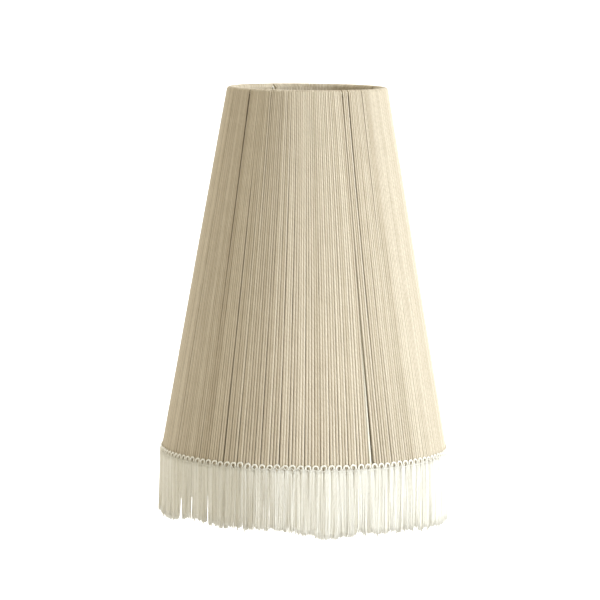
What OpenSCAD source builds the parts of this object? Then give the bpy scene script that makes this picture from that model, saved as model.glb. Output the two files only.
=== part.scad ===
// Conical string lamp shade: a welded wire frame wound with yarn, with a braided
// heading and a cut fringe round its lower edge. Millimetres, +Z up. The origin is
// the centre of the bore that clamps round the lampholder.

/* [Overall shape] */
// Diameter over the yarn at the top
top_d = 167; // [130:0.5:220]
// Diameter over the yarn at the bottom
bottom_d = 296.5; // [230:0.5:400]
// Height of the wire frame, ring centre to ring centre
frame_h = 372; // [240:1:500]
// Length of the fringe threads below the heading
fringe_len = 64; // [30:1:90]

/* [Wire frame] */
// Wire diameter of the two rings
ring_wire_d = 4; // [3:0.5:6]
// Wire diameter of the ribs
rib_wire_d = 3; // [2:0.25:3.5]
// Turn of the first rib from the +X direction
rib_turn = 27.5; // [0:0.5:89.5]

/* [Lampholder fitting] */
// Diameter of the hole that takes the lampholder
fitter_bore_d = 42; // [28:0.5:45]
// Outer diameter of the pressed fitting plate
fitter_d = 60; // [56:1:75]
// Thickness of the fitting plate
fitter_t = 2; // [1.5:0.25:3]
// Height of the rim turned down round the fitting plate, plate included
fitter_rim_h = 6; // [5:0.5:10]
// Depth of the fitting plate below the top ring
fitter_drop = 25; // [15:1:45]
// Slope of the arms that carry the fitting plate
arm_slope = 45; // [30:1:55]
// Wire diameter of the arms
arm_wire_d = 3; // [2:0.25:3.5]

/* [Yarn winding] */
// Thickness of the yarn
yarn_d = 1.8; // [1:0.1:3]
// Angle left open between two bays, where a rib shows
bay_gap = 1.2; // [0.8:0.1:2.5]

/* [Heading and fringe] */
// Height of the braided heading
heading_h = 7; // [5:0.5:15]
// Thickness of the braided heading
heading_t = 1.5; // [1:0.1:3]
// Thickness of the glue under the heading
glue_t = 0.3; // [0.2:0.1:0.6]
// Thickness of the curtain of threads
fringe_t = 2.4; // [1.5:0.1:4]
// Furthest inward swing of the fringe that its sections leave room for
fringe_inward = 10; // [5:1:15]

/* [Hidden] */
RIBS = 4;
SECTIONS = 24;

$fn = 96;
rib_pitch = 360 / RIBS;
section_pitch = 360 / SECTIONS;
overrun = 1;            // how far a cutting shape passes the face that it cuts
winding_slack = 0.05;   // air between a ring's wire and the yarn round it

// Wire frame. The yarn passes round both rings, so their centres lie a wire
// radius and a yarn thickness inside the outer diameters, measured square to
// the slope of the wall.
wind_r = ring_wire_d / 2 + winding_slack + yarn_d;
wall_lean = atan((bottom_d - top_d) / 2 / frame_h);
top_r = top_d / 2 - wind_r * cos(wall_lean);
bottom_r = bottom_d / 2 - wind_r * cos(wall_lean);
top_z = fitter_drop;
bottom_z = top_z - frame_h;

// Heading: it follows the slope of the yarn, centred on the bottom ring.
heading_top = bottom_z + heading_h / 2;
heading_bottom = bottom_z - heading_h / 2;
glue_h = heading_h / 2;

// Fringe: one rigid section stands for the threads of its part of the circle.
// Its sides taper, so that neighbours stay apart when all of them swing inward.
fringe_r = wall_r(heading_bottom, wind_r + glue_t + heading_t / 2);
fringe_drop = 1.2;      // room under the heading for the top edge as it swings
fringe_top = heading_bottom - fringe_drop;
fringe_bottom = heading_bottom - fringe_len;
side_room = 0.35;       // half of the space between the tops of two sections
side_top = (fringe_r - fringe_t / 2) * sin(section_pitch / 2) - side_room;
side_bottom = side_top - fringe_len * sin(fringe_inward) * tan(section_pitch / 2) + side_room / 2;

// Arm: level at the fitting plate, then one bend, then a slope up to the ring.
arm_bend_r = 10;
arm_z = fitter_t / 2 - fitter_rim_h / 2 - fitter_t / 4;
arm_rise = top_z - arm_z;
bend_run = arm_bend_r * sin(arm_slope);
bend_rise = arm_bend_r * (1 - cos(arm_slope));
slope_len = (arm_rise - bend_rise) / sin(arm_slope);
bend_start = top_r - slope_len * cos(arm_slope) - bend_run;
elbow_d = 0.1;          // how much a bend's end is swollen over the wire
arm_notch_room = 0.5;   // air between an arm and the yarn beside it

function fringe_name(i) = str("fringe_", i < 10 ? "0" : "", i);

function rib_angle(i) = rib_turn + (i - 1) * rib_pitch;

// Radius at height z of the wall line, moved outward by d square to the slope
function wall_r(z, d) = top_r + (top_z - z) * tan(wall_lean) + d / cos(wall_lean);

// Outline of a band of half-width r round both rings: straight walls, round ends
function band_outline(r, steps = 14) = concat(
    [for (i = [0 : steps]) let (a = wall_lean + 180 * i / steps)
        [top_r + r * cos(a), top_z + r * sin(a)]],
    [for (i = [0 : steps]) let (a = wall_lean + 180 + 180 * i / steps)
        [bottom_r + r * cos(a), bottom_z + r * sin(a)]]
);

module wire_ring(r, z, d) {
    translate([0, 0, z])
        rotate_extrude() translate([r, 0]) circle(d = d);
}

// A straight wire from one point to another of the (radius, height) plane
module straight_wire(from, to, d) {
    run = to - from;
    translate([from.x, 0, from.y])
        rotate([0, atan2(run.x, run.y), 0])
            cylinder(d = d, h = norm(run));
}

module top_ring() {
    color("ivory") wire_ring(top_r, top_z, ring_wire_d);
}

module bottom_ring() {
    color("ivory") wire_ring(bottom_r, bottom_z, ring_wire_d);
}

// A rib's ends are shaped to the rings that they are welded to
module rib(i) {
    color("ivory") rotate([0, 0, rib_angle(i)])
        difference() {
            straight_wire([top_r, top_z], [bottom_r, bottom_z], rib_wire_d);
            wire_ring(top_r, top_z, ring_wire_d);
            wire_ring(bottom_r, bottom_z, ring_wire_d);
        }
}

module fitter_ring() {
    color("ivory") difference() {
        translate([0, 0, fitter_t / 2 - fitter_rim_h])
            cylinder(d = fitter_d, h = fitter_rim_h);
        translate([0, 0, -fitter_rim_h])
            cylinder(d = fitter_bore_d, h = 2 * fitter_rim_h);
        translate([0, 0, -fitter_t / 2 - fitter_rim_h])
            cylinder(d = fitter_d - 2 * fitter_t, h = fitter_rim_h);
    }
}

// The bending press swells the wire a little where the slope starts
module arm_wire(d) {
    slope_start = [bend_start + bend_run, arm_z + bend_rise];
    straight_wire([fitter_d / 2 - fitter_t / 2, arm_z], [bend_start, arm_z], d);
    translate([bend_start, 0, arm_z + arm_bend_r])
        rotate([90, 0, 0]) rotate([0, 0, -90])
            rotate_extrude(angle = arm_slope) translate([arm_bend_r, 0]) circle(d = d);
    translate([slope_start.x, 0, slope_start.y]) sphere(d = d + elbow_d);
    straight_wire(slope_start, [top_r, top_z], d);
}

module fitter_arm(i) {
    color("ivory") rotate([0, 0, rib_angle(i)])
        difference() {
            arm_wire(arm_wire_d);
            translate([0, 0, -fitter_rim_h]) cylinder(d = fitter_d, h = 2 * fitter_rim_h);
            wire_ring(top_r, top_z, ring_wire_d);
            straight_wire([top_r, top_z], [bottom_r, bottom_z], rib_wire_d);
        }
}

// One bay of the winding, between two ribs: the yarn goes down outside both
// rings and up inside them, so a bay is a closed band with the rings in it.
module yarn_bay(i) {
    outer = band_outline(wind_r);
    inner = band_outline(wind_r - yarn_d);
    count = len(outer);
    color("tan") difference() {
        rotate([0, 0, rib_angle(i) + bay_gap / 2])
            rotate_extrude(angle = rib_pitch - bay_gap)
                polygon(concat(outer, inner), [
                    [for (k = [0 : count - 1]) k],
                    [for (k = [0 : count - 1]) count + k]
                ]);
        for (end = [i, i + 1])
            rotate([0, 0, rib_angle(end)])
                straight_wire([bend_start + bend_run, arm_z + bend_rise], [top_r, top_z],
                    arm_wire_d + 2 * arm_notch_room);
    }
}

// A sloping band between two distances from the wall line
module sloping_band(z_top, z_bottom, near, far) {
    rotate_extrude()
        polygon([
            [wall_r(z_top, near), z_top],
            [wall_r(z_bottom, near), z_bottom],
            [wall_r(z_bottom, far), z_bottom],
            [wall_r(z_top, far), z_top]
        ]);
}

module glue_line() {
    color("wheat")
        sloping_band(bottom_z + glue_h, bottom_z + wind_r * sin(wall_lean),
            wind_r, wind_r + glue_t);
}

module fringe_heading() {
    color("cornsilk")
        sloping_band(heading_top, heading_bottom, wind_r + glue_t, wind_r + glue_t + heading_t);
}

// Section i is centred (i - 1/2) pitches round from the +X direction
module fringe(i) {
    color("cornsilk") rotate([0, 0, (i - 0.5) * section_pitch])
        intersection() {
            translate([0, 0, fringe_bottom])
                rotate([0, 0, -section_pitch / 2])
                    rotate_extrude(angle = section_pitch)
                        translate([fringe_r - fringe_t / 2, 0])
                            square([fringe_t, fringe_top - fringe_bottom]);
            rotate([90, 0, 90])
                linear_extrude(fringe_r + fringe_t)
                    polygon([
                        [-side_top, fringe_top + overrun],
                        [-side_bottom, fringe_bottom - overrun],
                        [side_bottom, fringe_bottom - overrun],
                        [side_top, fringe_top + overrun]
                    ]);
        }
}

top_ring();
bottom_ring();
fitter_ring();
glue_line();
fringe_heading();
for (i = [1 : RIBS]) {
    rib(i);
    fitter_arm(i);
    yarn_bay(i);
}
for (i = [1 : SECTIONS])
    fringe(i);
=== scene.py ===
import math
import random

import bpy
import numpy as np
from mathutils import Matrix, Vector


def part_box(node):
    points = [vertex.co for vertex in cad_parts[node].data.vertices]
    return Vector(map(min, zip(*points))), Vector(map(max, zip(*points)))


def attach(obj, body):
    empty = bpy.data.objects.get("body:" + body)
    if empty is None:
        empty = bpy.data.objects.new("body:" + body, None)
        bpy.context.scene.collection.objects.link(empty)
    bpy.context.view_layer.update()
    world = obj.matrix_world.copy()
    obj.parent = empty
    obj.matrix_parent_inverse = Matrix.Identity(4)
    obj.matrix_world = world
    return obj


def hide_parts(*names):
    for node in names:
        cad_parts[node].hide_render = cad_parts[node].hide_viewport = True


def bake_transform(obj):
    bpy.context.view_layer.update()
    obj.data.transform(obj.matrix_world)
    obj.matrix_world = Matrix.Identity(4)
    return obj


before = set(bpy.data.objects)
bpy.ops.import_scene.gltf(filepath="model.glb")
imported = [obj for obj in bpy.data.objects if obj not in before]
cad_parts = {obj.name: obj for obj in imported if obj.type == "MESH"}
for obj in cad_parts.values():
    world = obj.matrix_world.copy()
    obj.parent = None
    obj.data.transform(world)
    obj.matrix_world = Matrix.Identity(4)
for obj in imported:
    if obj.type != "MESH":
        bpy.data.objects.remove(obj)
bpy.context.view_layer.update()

# A string lamp shade: yarn wound round two wire rings, a braided heading and a cut fringe.
# Lengths are in metres. Angles round the shade are in radians from +X.

MM = 0.001
TURN = 2 * math.pi
rng = np.random.default_rng(7)

# ---------------------------------------------------------------- sizes from the frame


def ring_size(node):
    """Radius and height of the wire's centreline."""
    low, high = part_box(node)
    return (high.x - low.x) / 2 - (high.z - low.z) / 2, (high.z + low.z) / 2


TOP_R, TOP_Z = ring_size("top_ring")
BOTTOM_R, BOTTOM_Z = ring_size("bottom_ring")
LEAN = math.atan((BOTTOM_R - TOP_R) / (TOP_Z - BOTTOM_Z))
WIND_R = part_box("yarn_bay_1")[1].z - TOP_Z          # outside of the yarn, from a ring's centre
HEADING_LOW, HEADING_HIGH = (c.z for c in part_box("fringe_heading"))
FRINGE_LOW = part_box("fringe_01")[0].z
RIBS = 4
SECTIONS = 24
BODY = "frame_and_winding"

TURNS_PER_BAY = 71
YARN_R = 0.90 * MM                                  # half the yarn's thickness
YARN_SPREAD = 1.45 * MM                             # half its width where it has room
LEGS = 240                                          # heading cord legs round the shade
LEGS_PER_SECTION = LEGS // SECTIONS
CAMERA_SIDE = -TURN / 4                             # the camera looks along +Y


def rib_angle(i):
    """Angle of rib i, counted on past RIBS so that a bay's end follows its start."""
    low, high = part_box("rib_1")
    return math.atan2(low.y + high.y, low.x + high.x) + (i - 1) * TURN / RIBS


def wall_r(z, out):
    """Radius at height z of the wall line moved outward by out, square to the slope."""
    return TOP_R + (TOP_Z - z) * math.tan(LEAN) + out / math.cos(LEAN)


# ---------------------------------------------------------------- mesh helpers


def mesh_object(name, verts, faces, uvs, material):
    """A smooth-shaded mesh object in the scene, with a YarnUV map if uvs are given."""
    mesh = bpy.data.meshes.new(name)
    mesh.from_pydata(np.asarray(verts, float).tolist(), [], [tuple(f) for f in faces])
    if uvs is not None:
        layer = mesh.uv_layers.new(name="YarnUV")
        layer.data.foreach_set("uv", np.asarray(uvs, np.float32).ravel())
    mesh.shade_smooth()
    mesh.materials.append(material)
    obj = bpy.data.objects.new(name, mesh)
    bpy.context.scene.collection.objects.link(obj)
    return obj


class Bundle:
    """Collects tubes into one mesh. Each tube's UVs are (length along, tube number + way round)."""

    def __init__(self, sides):
        self.sides = sides
        self.verts, self.faces, self.uvs = [], [], []
        self.count = 0
        self.tubes = 0

    def tube(self, path, out, half_out, half_side):
        """A tube along path. out is the direction square to it in which it is half_out thick."""
        path = np.asarray(path, float)
        n = len(path)
        along = np.gradient(path, axis=0)
        side = np.cross(along, out)
        side /= np.linalg.norm(side, axis=1, keepdims=True)
        up = np.cross(side, along)
        up /= np.linalg.norm(up, axis=1, keepdims=True)
        turn = np.arange(self.sides) * TURN / self.sides
        half_out = np.broadcast_to(half_out, n)[:, None, None]
        half_side = np.broadcast_to(half_side, n)[:, None, None]
        ring = (
            up[:, None, :] * np.cos(turn)[None, :, None] * half_out
            + side[:, None, :] * np.sin(turn)[None, :, None] * half_side
        )
        verts = (path[:, None, :] + ring).reshape(-1, 3)
        length = np.concatenate([[0], np.cumsum(np.linalg.norm(np.diff(path, axis=0), axis=1))])

        i, j = np.meshgrid(np.arange(n - 1), np.arange(self.sides), indexing="ij")
        k = (j + 1) % self.sides
        quads = np.stack(
            [i * self.sides + j, i * self.sides + k, (i + 1) * self.sides + k,
             (i + 1) * self.sides + j], -1,
        ).reshape(-1, 4)
        v0, v1 = self.tubes + j / self.sides, self.tubes + (j + 0.999) / self.sides
        uv = np.stack(
            [np.stack([length[i], v0], -1), np.stack([length[i], v1], -1),
             np.stack([length[i + 1], v1], -1), np.stack([length[i + 1], v0], -1)], -2,
        ).reshape(-1, 2)
        self.faces += (quads + self.count).tolist()
        self.uvs.append(uv)
        for end, order in ((0, -1), (n - 1, 1)):
            cap = self.count + end * self.sides + np.arange(self.sides)[::order]
            self.faces.append(cap.tolist())
            self.uvs.append(np.full((self.sides, 2), [length[end], self.tubes + 0.5]))
        self.verts.append(verts)
        self.count += len(verts)
        self.tubes += 1

    def finish(self, name, material):
        return mesh_object(
            name, np.concatenate(self.verts), self.faces, np.concatenate(self.uvs), material
        )


def place(radius, angle, z):
    """Points, or directions, from their radius, angle and height."""
    return np.stack([radius * np.cos(angle), radius * np.sin(angle), z + 0 * angle], -1)


def smooth_noise(x, seed, waves=5):
    """A smooth wandering value of about -1 to 1 over x, with waves of mixed length."""
    r = np.random.default_rng(seed)
    total = 0
    for w in range(waves):
        total = total + np.sin(x * r.uniform(0.6, 1.4) * (w + 1) + r.uniform(0, TURN)) / (w + 1)
    return total / 1.6


# ---------------------------------------------------------------- materials


def new_material(name):
    """An empty node material, its tree and its shader."""
    material = bpy.data.materials.new(name)
    material.use_nodes = True
    tree = material.node_tree
    return material, tree, tree.nodes["Principled BSDF"]


def node(tree, kind, **inputs):
    """A node of one kind, with some of its sockets set."""
    made = tree.nodes.new(kind)
    for key, value in inputs.items():
        made.inputs[key.replace("_", " ")].default_value = value
    return made


def math_node(tree, operation, a, b=0.0):
    """The result of a sum. Each of a and b is a number or another node's output."""
    made = tree.nodes.new("ShaderNodeMath")
    made.operation = operation
    for socket, value in zip(made.inputs, (a, b)):
        if isinstance(value, (int, float)):
            socket.default_value = value
        else:
            tree.links.new(value, socket)
    return made.outputs[0]


def mix_colour(tree, factor, a, b):
    """A colour between a and b. Each is a tuple or another node's output."""
    made = tree.nodes.new("ShaderNodeMix")
    made.data_type = "RGBA"
    for socket, value in ((made.inputs["Factor"], factor), (made.inputs[6], a), (made.inputs[7], b)):
        if isinstance(value, (int, float)):
            socket.default_value = value
        elif isinstance(value, tuple):
            socket.default_value = (*value, 1)
        else:
            tree.links.new(value, socket)
    return made.outputs[2]


def noise(tree, scale, detail=3.0, stretch=(1, 1, 1)):
    """Solid noise in the object's own coordinates. A small stretch draws it out along that axis."""
    coords = tree.nodes.new("ShaderNodeTexCoord")
    mapping = node(tree, "ShaderNodeMapping", Scale=stretch)
    made = node(tree, "ShaderNodeTexNoise", Scale=scale, Detail=detail)
    tree.links.new(coords.outputs["Object"], mapping.inputs["Vector"])
    tree.links.new(mapping.outputs["Vector"], made.inputs["Vector"])
    return made.outputs["Fac"]


def bump(tree, height, distance, strength=1.0, below=None):
    """A normal that follows a height, laid over another one if below is given."""
    made = node(tree, "ShaderNodeBump", Distance=distance, Strength=strength)
    tree.links.new(height, made.inputs["Height"])
    if below is not None:
        tree.links.new(below, made.inputs["Normal"])
    return made.outputs["Normal"]


def twisted_yarn(name, light, dark, lay, plies, roughness, sheen, groove, fuzz, painted_flank_shade):
    """Spun yarn: plies twisted at a given lay, with fibres, and each strand a little different.
    The last argument is how much darker and browner each strand is painted on its flanks and on its
    side turned away from the outside: painted shade for the shadow between and behind neighbouring
    strands."""
    material, tree, shader = new_material(name)
    uv = tree.nodes.new("ShaderNodeUVMap")
    uv.uv_map = "YarnUV"
    split = tree.nodes.new("ShaderNodeSeparateXYZ")
    tree.links.new(uv.outputs[0], split.inputs[0])
    along, around = split.outputs[0], split.outputs[1]
    phase = math_node(tree, "ADD", math_node(tree, "MULTIPLY", along, TURN / lay),
                      math_node(tree, "MULTIPLY", around, TURN * plies))
    strand = tree.nodes.new("ShaderNodeTexWhiteNoise")
    strand.noise_dimensions = "1D"
    tree.links.new(math_node(tree, "FLOOR", around), strand.inputs["W"])
    fibres = noise(tree, 2600.0, 4.0)
    slubs = noise(tree, 90.0, 2.0)
    drift = math_node(tree, "ADD", math_node(tree, "MULTIPLY", strand.outputs["Value"], 3 * TURN),
                      math_node(tree, "MULTIPLY", slubs, 2 * TURN))
    phase = math_node(tree, "MULTIPLY", math_node(tree, "ADD", phase, drift), 0.5)
    ply = math_node(tree, "ABSOLUTE", math_node(tree, "SINE", phase))
    tone = math_node(tree, "ADD", math_node(tree, "MULTIPLY", strand.outputs["Value"], 0.6),
                     math_node(tree, "MULTIPLY", slubs, 0.4))
    base = mix_colour(tree, tone, dark, light)
    # Painted shade: the hollows between the plies are darkened, as if shadowed.
    groove_shade = math_node(tree, "SUBTRACT", 1.0, ply)
    groove_shade = math_node(tree, "MULTIPLY", math_node(tree, "POWER", groove_shade, 2.0), 0.2)
    shade = mix_colour(tree, groove_shade, base, tuple(c * 0.6 for c in dark))
    # Painted shade: each strand's flanks and back are darkened to a browner tone, standing in for the
    # shadow between and behind its neighbours.
    flank_shade_mask = math_node(tree, "SINE", math_node(tree, "MULTIPLY", around, math.pi))
    flank_shade_mask = math_node(tree, "MULTIPLY", math_node(tree, "MULTIPLY", flank_shade_mask, flank_shade_mask), painted_flank_shade)
    shade = mix_colour(tree, flank_shade_mask, shade, tuple(c * f for c, f in zip(dark, (0.55, 0.48, 0.38))))
    speck = mix_colour(tree, math_node(tree, "MULTIPLY", fibres, 0.25), shade, light)
    tree.links.new(speck, shader.inputs["Base Color"])
    rough = math_node(tree, "ADD", roughness - 0.08, math_node(tree, "MULTIPLY", fibres, 0.16))
    tree.links.new(rough, shader.inputs["Roughness"])
    shader.inputs["Sheen Weight"].default_value = sheen
    shader.inputs["Sheen Roughness"].default_value = 0.4
    shader.inputs["Specular IOR Level"].default_value = 0.25
    relief = bump(tree, ply, groove)
    tree.links.new(bump(tree, fibres, fuzz, 0.8, relief), shader.inputs["Normal"])
    return material


def silky_thread(name, light, dark, roughness):
    """Viscose thread: fine lengthwise filaments with a soft gloss."""
    material, tree, shader = new_material(name)
    uv = tree.nodes.new("ShaderNodeUVMap")
    uv.uv_map = "YarnUV"
    split = tree.nodes.new("ShaderNodeSeparateXYZ")
    tree.links.new(uv.outputs[0], split.inputs[0])
    along, around = split.outputs[0], split.outputs[1]
    strand = tree.nodes.new("ShaderNodeTexWhiteNoise")
    strand.noise_dimensions = "1D"
    tree.links.new(math_node(tree, "FLOOR", around), strand.inputs["W"])
    patches = noise(tree, 120.0, 2.0)
    locks = noise(tree, 320.0, 1.0, (1, 1, 0.015))
    locks = math_node(tree, "SUBTRACT", math_node(tree, "MULTIPLY", locks, 3.0), 1.0)
    tone = math_node(tree, "ADD", math_node(tree, "MULTIPLY", strand.outputs["Value"], 0.35),
                     math_node(tree, "MULTIPLY", locks, 0.75))
    tree.links.new(mix_colour(tree, tone, dark, light), shader.inputs["Base Color"])
    start = math_node(tree, "MULTIPLY", strand.outputs["Value"], 3 * TURN)
    phase = math_node(tree, "ADD", math_node(tree, "MULTIPLY", along, TURN / (7 * MM)),
                      math_node(tree, "MULTIPLY", around, TURN * 5))
    filaments = math_node(tree, "SINE", math_node(tree, "ADD", phase, start))
    rough = math_node(tree, "ADD", roughness, math_node(tree, "MULTIPLY", patches, 0.12))
    tree.links.new(rough, shader.inputs["Roughness"])
    shader.inputs["Sheen Weight"].default_value = 0.25
    shader.inputs["Sheen Roughness"].default_value = 0.35
    shader.inputs["Specular IOR Level"].default_value = 0.45
    tree.links.new(bump(tree, filaments, 0.05 * MM, 0.7), shader.inputs["Normal"])
    return material


def painted_wire(name, dull, bright):
    """Cream enamel over drawn wire: a faint orange peel and a few duller patches."""
    material, tree, shader = new_material(name)
    patches = noise(tree, 60.0, 3.0)
    grain = noise(tree, 1400.0, 2.0)
    colour = mix_colour(tree, patches, dull, bright)
    tree.links.new(colour, shader.inputs["Base Color"])
    rough = math_node(tree, "ADD", 0.42, math_node(tree, "MULTIPLY", patches, 0.18))
    tree.links.new(rough, shader.inputs["Roughness"])
    shader.inputs["Coat Weight"].default_value = 0.2
    tree.links.new(bump(tree, grain, 0.03 * MM, 0.6), shader.inputs["Normal"])
    return material


def dried_glue():
    """Milky textile glue, a little yellow and uneven."""
    material, tree, shader = new_material("textile_glue")
    patches = noise(tree, 300.0, 4.0)
    tree.links.new(mix_colour(tree, patches, (0.62, 0.54, 0.38), (0.72, 0.66, 0.50)),
                   shader.inputs["Base Color"])
    rough = math_node(tree, "ADD", 0.35, math_node(tree, "MULTIPLY", patches, 0.25))
    tree.links.new(rough, shader.inputs["Roughness"])
    tree.links.new(bump(tree, patches, 0.1 * MM), shader.inputs["Normal"])
    return material


def plain_floor():
    """Matt pale paper, very faintly uneven."""
    material, tree, shader = new_material("pale_floor")
    tree.links.new(mix_colour(tree, noise(tree, 3.0), (0.90, 0.90, 0.90), (0.93, 0.93, 0.93)),
                   shader.inputs["Base Color"])
    shader.inputs["Roughness"].default_value = 0.9
    return material


# ---------------------------------------------------------------- yarn winding

# Where one bay's first turn and the last turn of the bay before it lie, in mm at the top,
# halfway down and at the bottom: the clear space between them on the outside of the shade,
# how far that space is to the right of the rib, and the clear space on the inside, which
# the arm needs at the top.
RIB_GAPS = {
    1: ((0.1, 0.5, 1.0), (0.0, 0.3, 0.0), (3.5, 1.3, 0.8)),
    2: ((0.1, 0.4, 0.8), (0.0, -0.3, 0.0), (3.5, 1.0, 0.9)),
    3: ((1.1, 0.9, 1.1), (-2.0, -2.0, 0.0), (3.5, 1.1, 0.8)),
    4: ((1.5, 0.8, 5.8), (-3.2, -1.3, -0.3), (3.5, 1.1, 0.9)),
}

# Other places where neighbouring strands have parted a little, as (degrees to the right of
# the camera's side, width in mm at the top, halfway down and at the bottom).
PARTINGS = (
    (31.3, 1.4, 0.7, 0.1),
    (-43.0, 1.9, 0.9, 0.0),
    (-24.3, 0.8, 0.2, 0.1),
    (-33.0, 0.0, 0.4, 0.5),
    (42.8, 0.7, 0.2, 0.0),
    (72.0, 0.3, 0.5, 0.2),
    (128.0, 0.7, 0.4, 0.1),
    (171.0, 0.2, 0.5, 0.6),
    (216.0, 0.8, 0.3, 0.0),
    (250.0, 0.2, 0.4, 0.4),
)
PARTING_REACH = 16 * MM                             # how far the strands beside a parting close up
WALL_MIDDLE_R = (TOP_R + BOTTOM_R) / 2
OUTER_STEPS, INNER_STEPS = 22, 18                   # stretches a straight run is drawn in


def along_wall(values, t):
    """A smooth value through three, at the top (t 0), halfway (0.5) and the bottom (1)."""
    top, middle, bottom = values
    return top * (1 - t) * (1 - 2 * t) + middle * 4 * t * (1 - t) + bottom * t * (2 * t - 1)


def parted(home, t):
    """How far the partings push the strand whose even place is home aside, along the ring."""
    push = 0
    for degrees, *widths in PARTINGS:
        away = (home - CAMERA_SIDE - math.radians(degrees) + TURN / 2) % TURN - TURN / 2
        near = math.exp(-abs(away) * WALL_MIDDLE_R / PARTING_REACH)
        push = push + math.copysign(near / 2, away) * np.maximum(along_wall(widths, t), 0) * MM
    return push


def strand_half_width(radius):
    """A strand is as wide as the crowd round the shade lets it be."""
    return np.minimum(YARN_SPREAD, TURN / RIBS / TURNS_PER_BAY * radius / 2)


def yarn_bay(i, material):
    """One yarn, wound 71 times: down outside both rings, up inside them, between two ribs."""
    r = random.Random(40 + i)
    ribs = (i, rib_angle(i)), (i % RIBS + 1, rib_angle(i + 1))
    centre = WIND_R - YARN_R
    normal_out = np.array([math.cos(LEAN), math.sin(LEAN)])
    top_ring, bottom_ring = np.array([TOP_R, TOP_Z]), np.array([BOTTOM_R, BOTTOM_Z])
    points, outs, half_side = [], [], []

    def add(rz, angle, out_rz, width):
        points.append(place(rz[:, 0], angle, rz[:, 1]))
        outs.append(np.stack([out_rz[:, 0] * np.cos(angle), out_rz[:, 0] * np.sin(angle),
                              out_rz[:, 1]], -1))
        half_side.append(width)

    def edge(rib, inside, t, radius, sign):
        """Angle of the strand nearest to a rib, on the side that sign says."""
        number, angle = rib
        outer, shift, inner = RIB_GAPS[number]
        half = along_wall(inner if inside else outer, t) * MM / 2 + strand_half_width(radius)
        return angle + (sign * half + (0 if inside else along_wall(shift, t) * MM)) / radius

    def strand(turn, inside, jitter_top, jitter_low, steps):
        """One straight run between the rings, from the top down: its centreline and half width."""
        sign = -1 if inside else 1
        t = np.linspace(0, 1, steps + 1)
        rz = top_ring + (bottom_ring - top_ring) * t[:, None] + sign * centre * normal_out
        radius = rz[:, 0]
        a, b = edge(ribs[0], inside, t, radius, 1), edge(ribs[1], inside, t, radius, -1)
        spread = (turn + 0.5) / TURNS_PER_BAY if inside else turn / (TURNS_PER_BAY - 1)
        wander = 0.14 * MM * smooth_noise(t * 7, 1000 * i + 2 * turn + inside) * np.sin(math.pi * t)
        aside = jitter_top * (1 - t) + jitter_low * t + wander
        if not inside:
            aside = aside + parted(ribs[0][1] + (turn + 0.5) / TURNS_PER_BAY * TURN / RIBS, t)
        angle = a + (b - a) * spread + aside / radius
        lift = 0.10 * MM * smooth_noise(t * 5, 7000 * i + 2 * turn + inside) * np.sin(math.pi * t)
        rz = rz + sign * lift[:, None] * normal_out
        swell = 1 + 0.05 * smooth_noise(t * 23, 5000 * i + 2 * turn + inside)
        out = np.broadcast_to(sign * normal_out, rz.shape)
        return rz, angle, out, strand_half_width(radius) * swell

    def bend(ring, start, from_angle, to_angle, late, width, steps=7):
        """Half a turn round a ring. late says how late in it the yarn goes over to its new angle."""
        s = np.linspace(0, 1, steps + 2)[1:-1]
        turn = start + math.pi * s
        out = np.stack([np.cos(turn), np.sin(turn)], -1)
        add(ring + centre * out, from_angle + (to_angle - from_angle) * s ** late, out, width + 0 * s)

    last = None
    for turn in range(TURNS_PER_BAY):
        outer = strand(turn, False, r.gauss(0, 0.09) * MM, r.gauss(0, 0.19) * MM, OUTER_STEPS)
        inner = strand(turn, True, r.gauss(0, 0.05) * MM, r.gauss(0, 0.34) * MM, INNER_STEPS)
        if last is not None:
            bend(bottom_ring, LEAN + math.pi, last, outer[1][-1], 1, outer[3][-1])
        add(*(part[::-1] for part in outer))
        bend(top_ring, LEAN, outer[1][0], inner[1][0], 5, outer[3][0])
        add(*inner)
        last = inner[1][-1]
    bend(bottom_ring, LEAN + math.pi, last, last, 1, YARN_SPREAD)

    yarn = Bundle(8)
    yarn.tube(np.concatenate(points), np.concatenate(outs), YARN_R, np.concatenate(half_side))
    shift_uv(yarn, np.concatenate([np.full(len(p), k) for k, p in enumerate(points)]))
    obj = yarn.finish(f"yarn_bay_{i}_strands", material)
    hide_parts(f"yarn_bay_{i}")
    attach(obj, BODY)


def shift_uv(bundle, number):
    """Gives each stretch of one long tube its own whole number, so that its tone differs."""
    quads = np.repeat(number[:-1], bundle.sides)
    bundle.uvs[0][:, 1] += np.repeat(quads, 4)


# ---------------------------------------------------------------- heading

CORD_R = 0.95 * MM                                  # half the cord's width
CORD_FLAT = 0.65 * MM                               # half its thickness, as it is pressed flat
ARCH_SHARE = 0.67                                   # half an arch's width, in leg pitches
FOOT_SINK = 0.3 * MM                                # how far the cord dips between two arches
LEG_STEPS, CROWN_STEPS, FOOT_STEPS = 4, 8, 6        # stretches each part of an arch is drawn in
BINDER_R = 0.42 * MM

# Where the fine binding cord rides up over the arches, as (degrees to the right of the
# camera's side, how far round it reaches in degrees); elsewhere it runs low, at their feet.
BINDER_RISES = ((-7.0, 9.0), (62.0, 7.0), (118.0, 12.0), (195.0, 10.0), (-118.0, 8.0))


def leg_angle(leg):
    """Legs stand in pairs: the two of one arch are further apart than two neighbours."""
    pitch = TURN / LEGS
    pair, right = divmod(leg, 2)
    return (2 * pair + 1) * pitch + (1 if right else -1) * pitch * ARCH_SHARE


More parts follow.
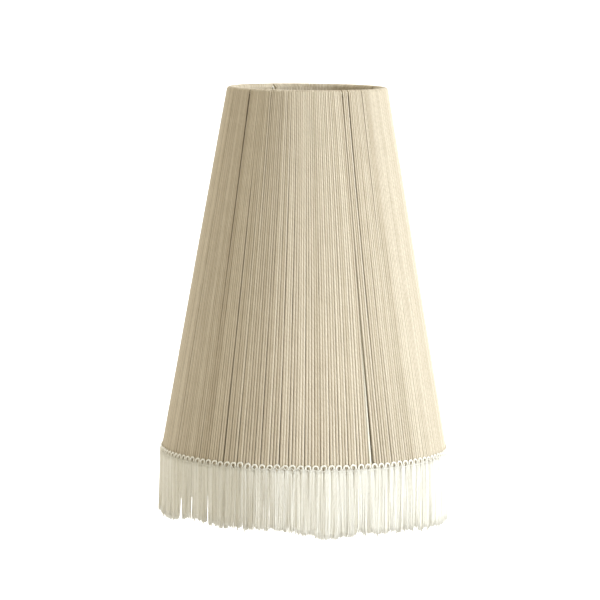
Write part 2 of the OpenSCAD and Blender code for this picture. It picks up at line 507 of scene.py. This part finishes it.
def arch_cord(material):
    """One twisted cord laid in 120 upright arches, each leaning and rising a little differently."""
    r = random.Random(11)
    high = HEADING_HIGH - CORD_R
    low = HEADING_LOW + CORD_R + 0.1 * MM
    radius = wall_r(high, WIND_R)
    points = []
    for arch in range(LEGS // 2):
        a, b, c = (leg_angle(2 * arch + k) for k in range(3))
        slant = r.gauss(0.15, 0.25) * MM
        top = high + r.gauss(0, 0.2) * MM
        half, half_next = (b - a) / 2, (c - b) / 2
        crown, foot = 0.85 * half * radius, half_next * radius
        leg_low, leg_high = low + foot, top - crown

        def put(angle, z, depth=0.0):
            lean = slant * (z - low) / (high - low) / radius
            points.append((angle + lean, z, depth))

        for k in range(LEG_STEPS):
            put(a, leg_low + (leg_high - leg_low) * k / LEG_STEPS)
        for k in range(CROWN_STEPS + 1):
            turn = math.pi * k / CROWN_STEPS
            put((a + b) / 2 - half * math.cos(turn), leg_high + crown * math.sin(turn))
        for k in range(1, LEG_STEPS + 1):
            put(b, leg_high + (leg_low - leg_high) * k / LEG_STEPS)
        for k in range(1, FOOT_STEPS):
            turn = math.pi * k / FOOT_STEPS
            put((b + c) / 2 - half_next * math.cos(turn), leg_low - foot * math.sin(turn),
                -FOOT_SINK * math.sin(turn))
    angle, z, depth = np.array(points).T
    path = place(wall_r(z, WIND_R + CORD_FLAT) + depth, angle, z)
    cord = Bundle(8)
    cord.tube(path, place(math.cos(LEAN), angle, math.sin(LEAN)), CORD_FLAT, CORD_R)
    return cord.finish("heading_arch_cord", material)


def binding_cord(material):
    """A finer cord that zigzags over the arches and holds them side by side."""
    steps = LEGS * 6
    s = np.arange(steps + 1) / steps
    degrees = np.degrees(s * TURN - CAMERA_SIDE)
    rise = 0
    for at, reach in BINDER_RISES:
        away = (degrees - at + 180) % 360 - 180
        rise = rise + np.exp(-(away / reach) ** 2)
    tall = HEADING_HIGH - HEADING_LOW
    swing = (0.2 + 1.2 * rise) * MM
    z = HEADING_LOW + (0.10 + 0.36 * rise) * tall + swing * np.sin(s * TURN * LEGS / 2)
    z = z + 0.15 * MM * smooth_noise(s * 300, 77)
    front = (0.7 + 0.9 * np.minimum(rise, 1)) * MM + 0.2 * MM * np.cos(s * TURN * LEGS)
    path = place(wall_r(z, WIND_R + front), s * TURN, z)
    cord = Bundle(6)
    cord.tube(path, place(math.cos(LEAN), s * TURN, math.sin(LEAN)), BINDER_R, BINDER_R)
    return cord.finish("heading_binding_cord", material)


def heading(material):
    """The braid that covers the yarn's turn round the bottom ring."""
    for obj in (arch_cord(material), binding_cord(material)):
        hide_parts("fringe_heading")
        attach(obj, BODY)


def glue_dabs(material):
    """Flattened dabs of glue, one behind each leg of the heading cord."""
    r = random.Random(23)
    dabs = Bundle(8)
    z_mid = BOTTOM_Z - 1.0 * MM
    sink, thick = 0.12 * MM, 0.3 * MM
    for leg in range(LEGS):
        angle = leg_angle(leg) + r.gauss(0, 0.1) * MM / BOTTOM_R
        tall = r.uniform(1.2, 2.4) * MM
        s = np.linspace(-1, 1, 7)
        z = z_mid + s * tall
        radius = np.array([wall_r(h, WIND_R - sink) for h in z])
        path = place(radius, angle + 0 * z, z)
        round_off = np.sqrt(np.maximum(1 - s * s * 0.96, 0))
        dabs.tube(path, place(1 + 0 * z, angle + 0 * z, 0), thick * round_off,
                  r.uniform(0.45, 0.8) * MM * round_off)
    obj = dabs.finish("glue_dabs", material)
    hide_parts("glue_line")
    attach(obj, BODY)


# ---------------------------------------------------------------- fringe

THREADS_PER_LEG = 26
THREAD_R = 0.36 * MM
TUFT_SIDE, TUFT_DEPTH = 2.50 * MM, 0.75 * MM        # half width and half depth of a leg's tuft
ROOT_HIDE = 2.6 * MM                                # how far a thread starts up inside the heading
ROOT_SPREAD, SPREAD_OVER = 0.72, 0.30               # a tuft's width at its root, and where it is full
FRINGE_R = wall_r(HEADING_LOW, WIND_R + 0.35 * MM)
GOLDEN_TURN = math.pi * (3 - math.sqrt(5))

# How the cut edge strays from level, as (degrees to the right of the camera's side, mm
# longer), and where two tufts have swung apart, as (degrees, mm at the cut edge).
CUT_LINE = (
    (-180, -1.0), (-150, 0.5), (-120, -2.0), (-85, -3.0), (-66, -2.5), (-59, -5.0), (-50, -8.0),
    (-43, -7.0), (-36, -4.5), (-12, -4.5), (0, -1.5), (9, 2.5), (16, 3.0), (23, 0.5), (40, 0.5),
    (60, 2.0), (80, 3.0), (120, 1.0), (180, -1.0),
)
SPLITS = ((-57.3, 8.0), (-50.2, 6.0), (-41.0, 3.6), (101.0, 5.0), (163.0, 3.6), (-139.0, 6.0))
SPLIT_REACH = 7 * MM                                # how far the tufts beside a split give way


def tuft_drift():
    """Sideways and outward drift of each tuft at its lower end, and how much longer it is."""
    legs = np.arange(LEGS)
    angle = np.array([leg_angle(leg) for leg in legs])
    degrees = (np.degrees(angle - CAMERA_SIDE) + 180) % 360 - 180
    side = (0.4 * smooth_noise(legs * 0.4, 301) + rng.normal(0, 0.28, LEGS)) * MM
    for at, width in SPLITS:
        away = np.radians((degrees - at + 180) % 360 - 180) * FRINGE_R
        side += np.sign(away) * width / 2 * MM * np.exp(-np.abs(away) / SPLIT_REACH)
    outward = (0.3 * smooth_noise(legs * 0.7, 302) + rng.normal(0, 0.45, LEGS)) * MM
    longer = (0.8 * smooth_noise(legs * 0.35, 303) + rng.normal(0, 1.0, LEGS)) * MM
    return side, outward, longer + np.interp(degrees, *zip(*CUT_LINE)) * MM


def fringe_section(section, drift, material):
    """The threads of ten legs: each hangs in its tuft, bends a little and has its own cut end."""
    r = np.random.default_rng(900 + section)
    threads = Bundle(5)
    depth = HEADING_LOW - FRINGE_LOW
    s = np.linspace(0, 1, 12)
    fall = s ** 1.4
    opening = ROOT_SPREAD + (1 - ROOT_SPREAD) * np.sin(np.minimum(s / SPREAD_OVER, 1) * TURN / 4)
    for leg in range((section - 1) * LEGS_PER_SECTION, section * LEGS_PER_SECTION):
        side, outward, longer = (values[leg] for values in drift)
        home, root = (leg + 0.5) * TURN / LEGS, leg_angle(leg)
        start, waves = r.uniform(0, TURN), r.uniform(2.0, 5.0)
        wave = 0.35 * MM * np.sin(start + waves * s) * s
        for k in range(THREADS_PER_LEG):
            reach, turn = math.sqrt((k + 0.5) / THREADS_PER_LEG), start + k * GOLDEN_TURN
            across = reach * math.cos(turn) * TUFT_SIDE + r.normal(0, 0.08) * MM
            deep = reach * math.sin(turn) * TUFT_DEPTH
            stray = 3.0 if r.random() < 0.05 else 1.0
            tip = side + stray * r.normal(0, 0.28) * MM
            length = depth + longer + (r.normal(0, 0.9) + 1.5 * (stray - 1)) * MM
            flick = stray * r.normal(0, 0.25) * MM * s ** 6
            z = HEADING_LOW + ROOT_HIDE - s * (length + ROOT_HIDE)
            aside = across * opening + tip * fall + wave + flick
            angle = home + (root - home) * (1 - fall) + aside / FRINGE_R
            out = deep + (outward + r.normal(0, 0.35) * MM) * fall
            thick = THREAD_R * np.minimum(0.5 + 12 * s, 1) * (1 - 0.3 * s ** 12)
            threads.tube(place(FRINGE_R + out, angle, z), place(1 + 0 * s, angle, 0), thick, thick)
    name = f"fringe_{section:02d}"
    obj = threads.finish(f"{name}_threads", material)
    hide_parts(name)
    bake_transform(obj)


# ---------------------------------------------------------------- the studio


def studio():
    """A pale floor that sweeps up behind, soft lamps, and the camera in front."""
    floor_z, half, back, rise = -0.95, 9.0, 6.0, 9.0
    bend = 2.5
    profile = [(-8.0, floor_z), (back - bend, floor_z)]
    for k in range(1, 13):
        turn = TURN / 4 * k / 12
        profile.append((back - bend + bend * math.sin(turn), floor_z + bend * (1 - math.cos(turn))))
    profile.append((back, rise))
    verts, faces = [], []
    for y, z in profile:
        verts += [(-half, y, z), (half, y, z)]
    for k in range(len(profile) - 1):
        faces.append((2 * k, 2 * k + 1, 2 * k + 3, 2 * k + 2))
    mesh_object("studio_floor", verts, faces, None, plain_floor())

    def lamp(name, place_at, aim, size, watts, colour=(1, 1, 1)):
        data = bpy.data.lights.new(name, "AREA")
        data.shape, data.size, data.energy, data.color = "DISK", size, watts, colour
        obj = bpy.data.objects.new(name, data)
        obj.location = place_at
        obj.rotation_euler = (Vector(aim) - Vector(place_at)).to_track_quat("-Z", "Y").to_euler()
        bpy.context.scene.collection.objects.link(obj)

    middle = (0, 0, -0.18)
    lamp("key_right", (2.2, -1.2, 0.7), middle, 1.3, 69, (0.93, 1.03, 1.22))
    lamp("fill_left", (-2.2, -2.2, 0.5), middle, 2.0, 7, (1.0, 0.93, 0.78))
    lamp("top_soft", (0.3, 0.2, 2.4), middle, 2.0, 16)
    lamp("backdrop_left", (-2.6, 2.4, 1.6), (-1.0, 5.0, -0.8), 2.5, 150)
    lamp("backdrop_right", (2.6, 2.4, 1.6), (1.0, 5.0, -0.8), 2.5, 150)
    world = bpy.data.worlds.new("studio_air")
    world.use_nodes = True
    world.node_tree.nodes["Background"].inputs["Color"].default_value = (1.0, 0.955, 0.85, 1)
    world.node_tree.nodes["Background"].inputs["Strength"].default_value = 0.665
    bpy.context.scene.world = world
    bpy.context.scene.view_settings.view_transform = "Standard"

    data = bpy.data.cameras.new("camera")
    data.sensor_width, data.lens = 36.0, 212.0
    data.clip_start, data.clip_end = 0.1, 60.0
    camera = bpy.data.objects.new("camera", data)
    camera.location = (-0.0056, -3.65, TOP_Z + 0.167)
    pitch, roll = math.radians(-6.02), math.radians(0.55)
    camera.rotation_mode = "XYZ"
    camera.rotation_euler = (TURN / 4 + pitch, 0, 0)
    camera.rotation_euler.rotate_axis("Z", roll)
    bpy.context.scene.collection.objects.link(camera)
    bpy.context.scene.camera = camera


def main():
    yarn = twisted_yarn("ecru_yarn", (0.70, 0.62, 0.465), (0.41, 0.335, 0.22), 5.5 * MM, 2,
                        0.85, 0.25, 0.05 * MM, 0.05 * MM, 0.42)
    cord = twisted_yarn("ivory_cord", (0.86, 0.83, 0.72), (0.74, 0.70, 0.57), 3.2 * MM, 3,
                        0.55, 0.2, 0.10 * MM, 0.03 * MM, 0.3)
    silk = silky_thread("ivory_viscose", (0.895, 0.865, 0.755), (0.73, 0.685, 0.55), 0.38)
    wire = painted_wire("cream_enamel", (0.82, 0.76, 0.57), (0.90, 0.85, 0.67))
    # The fitter's ring and arms get a much darker enamel: painted shade for the dim inside of the
    # shade where they sit.
    shaded_enamel = painted_wire("enamel_painted_shade", (0.42, 0.37, 0.27), (0.52, 0.47, 0.36))
    for name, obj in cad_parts.items():
        obj.data.materials.clear()
        obj.data.materials.append(shaded_enamel if name.startswith("fitter") else wire)
    for i in range(1, RIBS + 1):
        yarn_bay(i, yarn)
    heading(cord)
    glue_dabs(dried_glue())
    drift = tuft_drift()
    for section in range(1, SECTIONS + 1):
        fringe_section(section, drift, silk)
    studio()


main()
